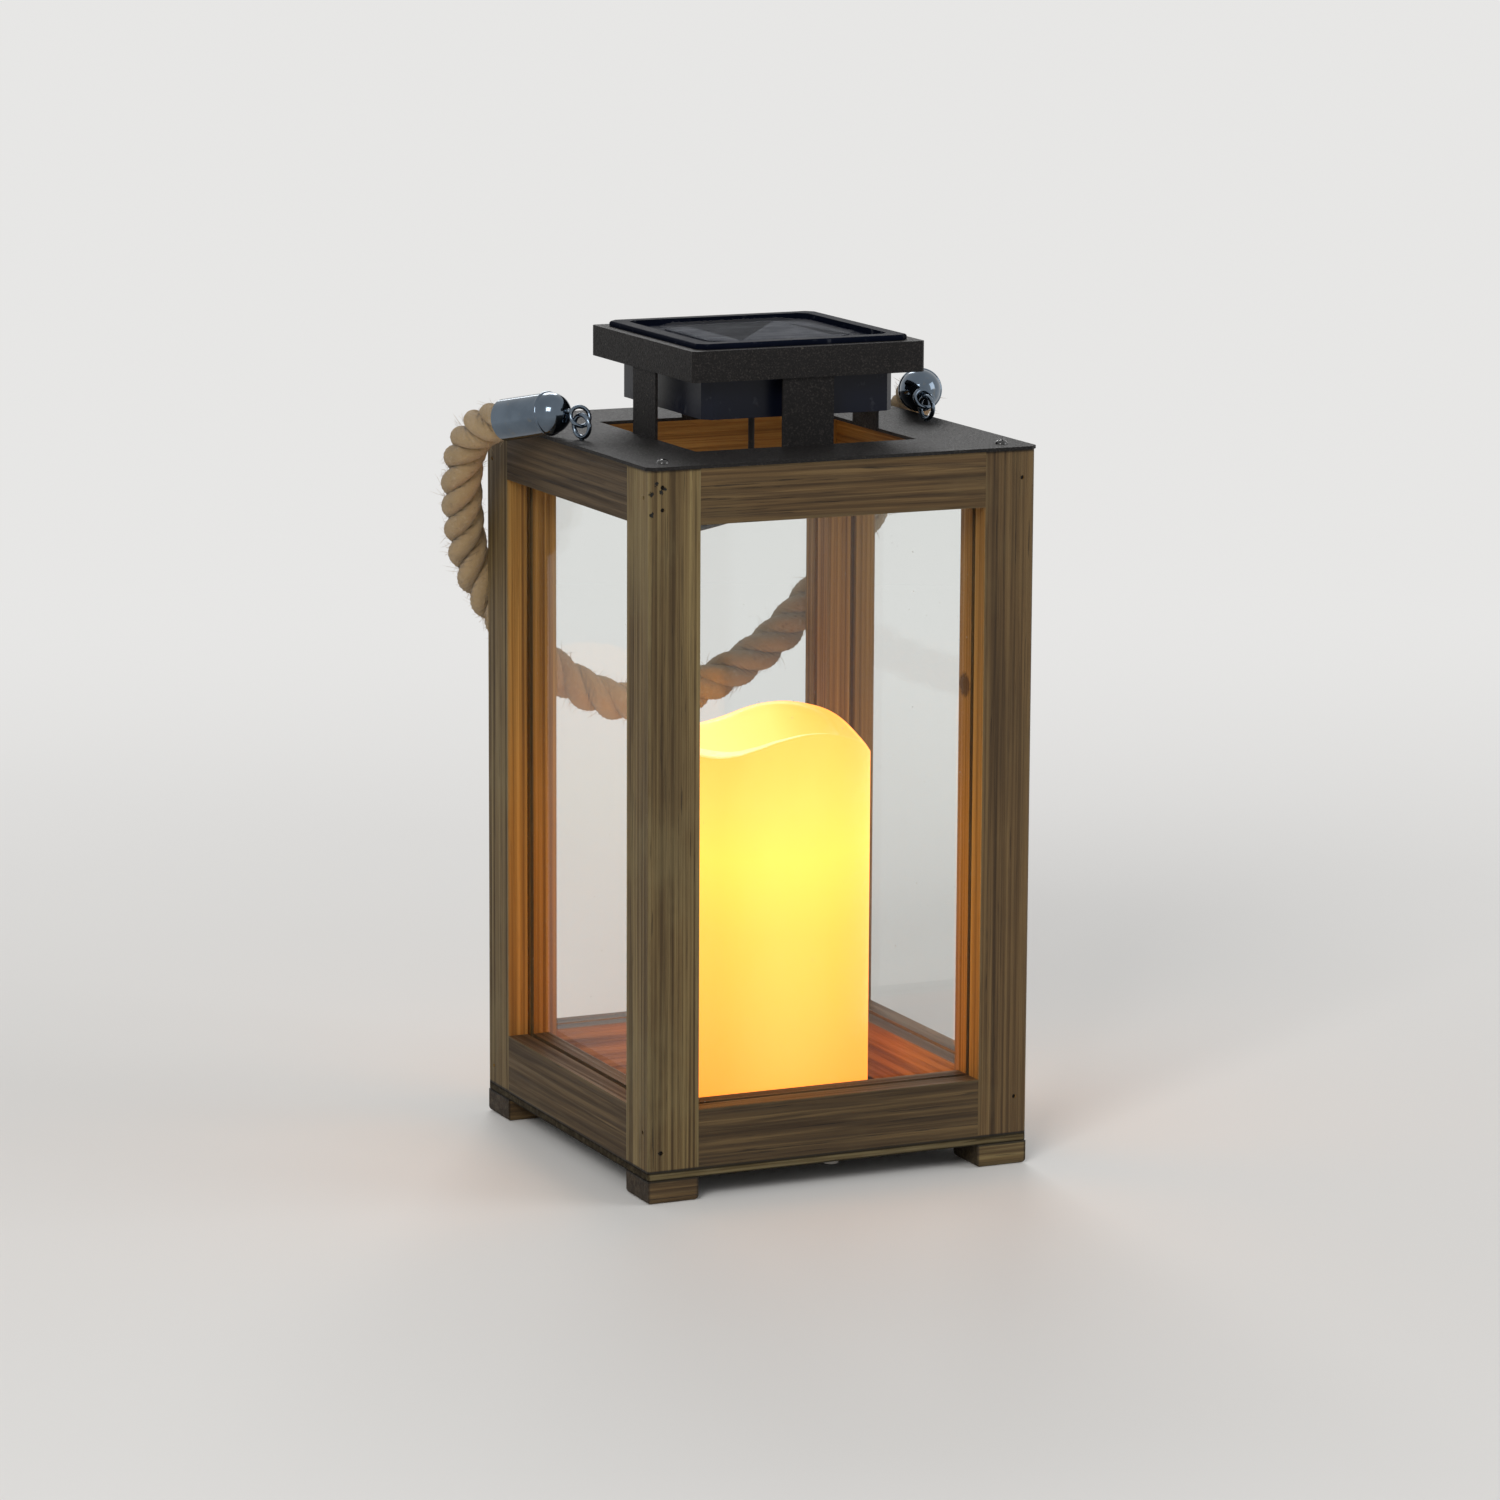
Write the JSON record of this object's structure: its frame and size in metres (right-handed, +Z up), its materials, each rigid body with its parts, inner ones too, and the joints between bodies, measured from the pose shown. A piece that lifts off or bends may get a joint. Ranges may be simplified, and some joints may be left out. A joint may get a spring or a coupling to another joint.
{
  "type": "solar candle lantern",
  "caption": "Square glazed timber lantern with a black metal top, a raised cap holding a solar unit, an LED pillar candle inside and a rope carrying handle.",
  "frame": {"origin": "on the ground under the middle of the four feet", "axes": "+Z up, front pane facing -Y, left side -X, handle pivots along X"},
  "size_m": [0.1932, 0.169, 0.3013],
  "materials": {
    "stained_wood": "weathered brown-grey stain",
    "board_wood": "stained thin board",
    "pane_glass": "clear",
    "black_metal": "textured powder coat",
    "black_screw": "black oxide",
    "steel": "zinc plated",
    "chrome": "polished",
    "jute": "three-strand twisted jute",
    "navy_plastic": "satin navy black",
    "white_plastic": "matte",
    "solar_cell": "dark silicon",
    "clear_window": "clear resin",
    "rubber": "matte black",
    "battery_sleeve": "shrink sleeve",
    "contact_metal": "nickel plated",
    "circuit_green": "solder mask",
    "component": "moulded",
    "wax": "translucent wax-like plastic, lit from inside",
    "candle_plastic": "matte",
    "led": "warm LED"
  },
  "bodies": {
    "lantern": {"base_board": "board_wood", "base_screws": "steel", "bottom_rail_back": "stained_wood", "bottom_rail_front": "stained_wood", "bottom_rail_left": "stained_wood", "bottom_rail_right": "stained_wood", "candle_base": "candle_plastic", "candle_screws": "steel", "candle_shell": "wax", "cap_frame": "black_metal", "clip_nails": "steel", "foot_back_left": "stained_wood", "foot_back_right": "stained_wood", "foot_front_left": "stained_wood", "foot_front_right": "stained_wood", "foot_screws": "steel", "frame_brads": "steel", "glass_back": "pane_glass", "glass_front": "pane_glass", "glass_left": "pane_glass", "glass_right": "pane_glass", "lead_clips": "white_plastic", "lead_lower": "rubber", "led_board": "circuit_green", "led_lamps": "led", "plate_screws": "black_screw", "post_back_left": "stained_wood", "post_back_right": "stained_wood", "post_front_left": "stained_wood", "post_front_right": "stained_wood", "screw_eye_left": "chrome", "screw_eye_right": "chrome", "top_plate": "black_metal", "top_rail_back": "stained_wood", "top_rail_front": "stained_wood", "top_rail_left": "stained_wood", "top_rail_right": "stained_wood"},
    "handle": {"handle_rope": "jute", "ferrule_left": "chrome", "ferrule_right": "chrome", "ferrule_eye_left": "chrome", "ferrule_eye_right": "chrome"},
    "solar_unit": {"solar_housing": "navy_plastic", "battery_cover": "navy_plastic", "solar_lid": "navy_plastic", "housing_seal": "rubber", "solar_cell": "solar_cell", "cell_window": "clear_window", "lid_screws": "steel", "cover_screws": "steel", "battery_cell": "battery_sleeve", "contact_plus": "contact_metal", "contact_minus": "contact_metal", "circuit_board": "circuit_green", "circuit_parts": "component", "board_screws": "steel", "switch_body": "navy_plastic", "cable_gland": "rubber", "lead_upper": "rubber"},
    "switch": {"switch_slider": "white_plastic"}
  },
  "joints": [
    {"name": "handle_swing", "type": "hinge", "parent": "lantern", "child": "handle", "pos_m": [0, 0, 0.2687], "axis": [1, 0, 0], "range_deg": [0, 145]},
    {"name": "solar_unit_lift", "type": "slide", "parent": "lantern", "child": "solar_unit", "axis": [0, 0, 1], "range_m": [0, 0.03], "deforming": ["lead_upper"]},
    {"name": "switch_slide", "type": "slide", "parent": "solar_unit", "child": "switch", "axis": [1, 0, 0], "range_m": [0, 0.004]}
  ]
}
